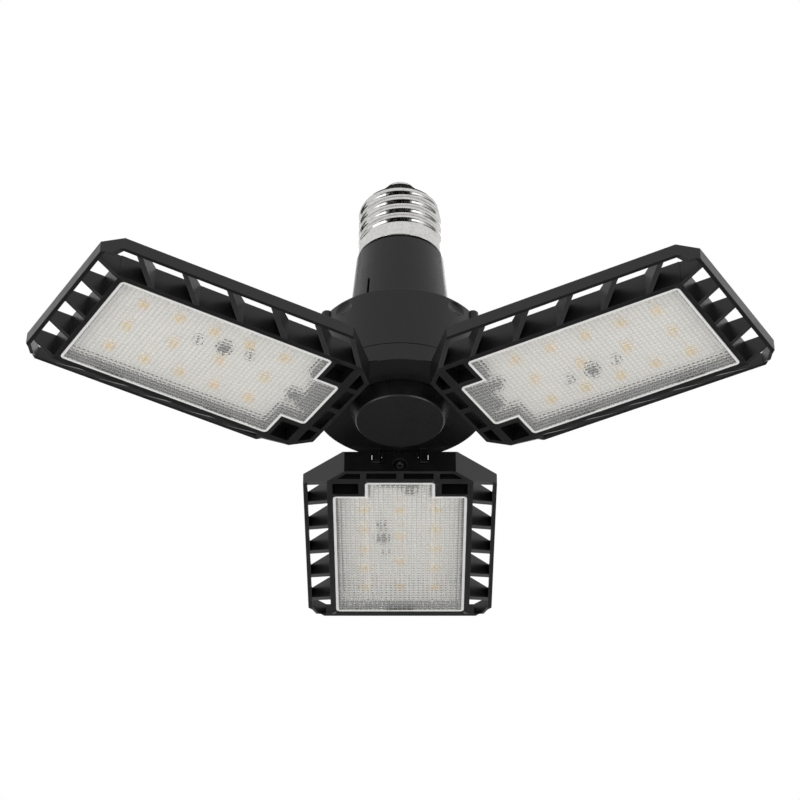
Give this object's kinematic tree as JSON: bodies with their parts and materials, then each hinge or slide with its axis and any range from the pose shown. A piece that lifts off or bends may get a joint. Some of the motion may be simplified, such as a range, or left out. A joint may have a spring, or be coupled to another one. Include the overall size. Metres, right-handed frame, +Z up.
{
  "type": "deformable garage light",
  "caption": "Screw-in ceiling light: a black drum on a screw cap carries flat light panels on friction hinges, with open latticed rims and prismatic lenses.",
  "frame": {"origin": "on the drum's axis at the lower end of the screw cap's plain skirt", "axes": "+Z up along the light's axis into the lamp holder, +X to the right and +Y away from the viewer, along the rear panel"},
  "size_m": [0.2207, 0.1931, 0.0959],
  "materials": {
    "nickel_shell": "rolled and nickel plated",
    "black_glass": "glossy",
    "nickel_contact": "nickel plated",
    "black_plastic": "satin, moulded",
    "frame_plastic": "satin, moulded",
    "lens_acrylic": "clear acrylic with small prisms",
    "white_board": "white solder mask",
    "chip_resin": "yellow resin",
    "plate_aluminium": "brushed",
    "screw_steel": "zinc plated",
    "green_board": "green solder mask",
    "capacitor_sleeve": "shrunk sleeve",
    "ferrite": "matt",
    "yellow_tape": "smooth tape",
    "black_epoxy": "moulded epoxy",
    "yellow_case": "moulded case",
    "tan_ceramic": "painted",
    "ivory_plastic": "moulded",
    "red_insulation": "smooth",
    "white_insulation": "smooth"
  },
  "bodies": {
    "hub": {"screw_shell": "nickel_shell", "cap_insulator": "black_glass", "centre_contact": "nickel_contact", "neck_sleeve": "black_plastic", "drum_housing": "black_plastic", "hub_base": "black_plastic", "bottom_cap": "black_plastic", "driver_board": "green_board", "driver_screws": "screw_steel", "reservoir_capacitor": "capacitor_sleeve", "choke_core": "ferrite", "choke_winding": "yellow_tape", "bridge_rectifier": "black_epoxy", "film_capacitor": "yellow_case", "fuse_resistor": "tan_ceramic", "control_chips": "black_epoxy", "output_terminals": "ivory_plastic", "live_lead": "red_insulation", "neutral_lead": "white_insulation", "output_leads": "red_insulation", "hinge_pin_left": "screw_steel", "friction_washers_left": "screw_steel", "hinge_pin_right": "screw_steel", "friction_washers_right": "screw_steel", "hinge_pin_rear": "screw_steel", "friction_washers_rear": "screw_steel"},
    "panel_left": {"panel_frame_left": "frame_plastic", "lens_left": "lens_acrylic", "light_board_left": "white_board", "light_chips_left": "chip_resin", "heat_plate_left": "plate_aluminium", "board_screws_left": "screw_steel", "end_screw_left": "screw_steel", "panel_lead_left": "white_insulation"},
    "panel_right": {"panel_frame_right": "frame_plastic", "lens_right": "lens_acrylic", "light_board_right": "white_board", "light_chips_right": "chip_resin", "heat_plate_right": "plate_aluminium", "board_screws_right": "screw_steel", "end_screw_right": "screw_steel", "panel_lead_right": "white_insulation"},
    "panel_rear": {"panel_frame_rear": "frame_plastic", "lens_rear": "lens_acrylic", "light_board_rear": "white_board", "light_chips_rear": "chip_resin", "heat_plate_rear": "plate_aluminium", "board_screws_rear": "screw_steel", "end_screw_rear": "screw_steel", "panel_lead_rear": "white_insulation"}
  },
  "joints": [
    {"name": "left_panel_hinge", "type": "hinge", "parent": "hub", "child": "panel_left", "pos_m": [-0.01974, -0.0114, -0.06112], "axis": [0.5, -0.866, 0], "range_deg": [0, 92.4]},
    {"name": "right_panel_hinge", "type": "hinge", "parent": "hub", "child": "panel_right", "pos_m": [0.01974, -0.0114, -0.06112], "axis": [0.5, 0.866, 0], "range_deg": [-1.6, 90.8]},
    {"name": "rear_panel_hinge", "type": "hinge", "parent": "hub", "child": "panel_rear", "pos_m": [0, 0.0228, -0.06112], "axis": [-1, 0, 0], "range_deg": [-1.1, 91.3]}
  ]
}
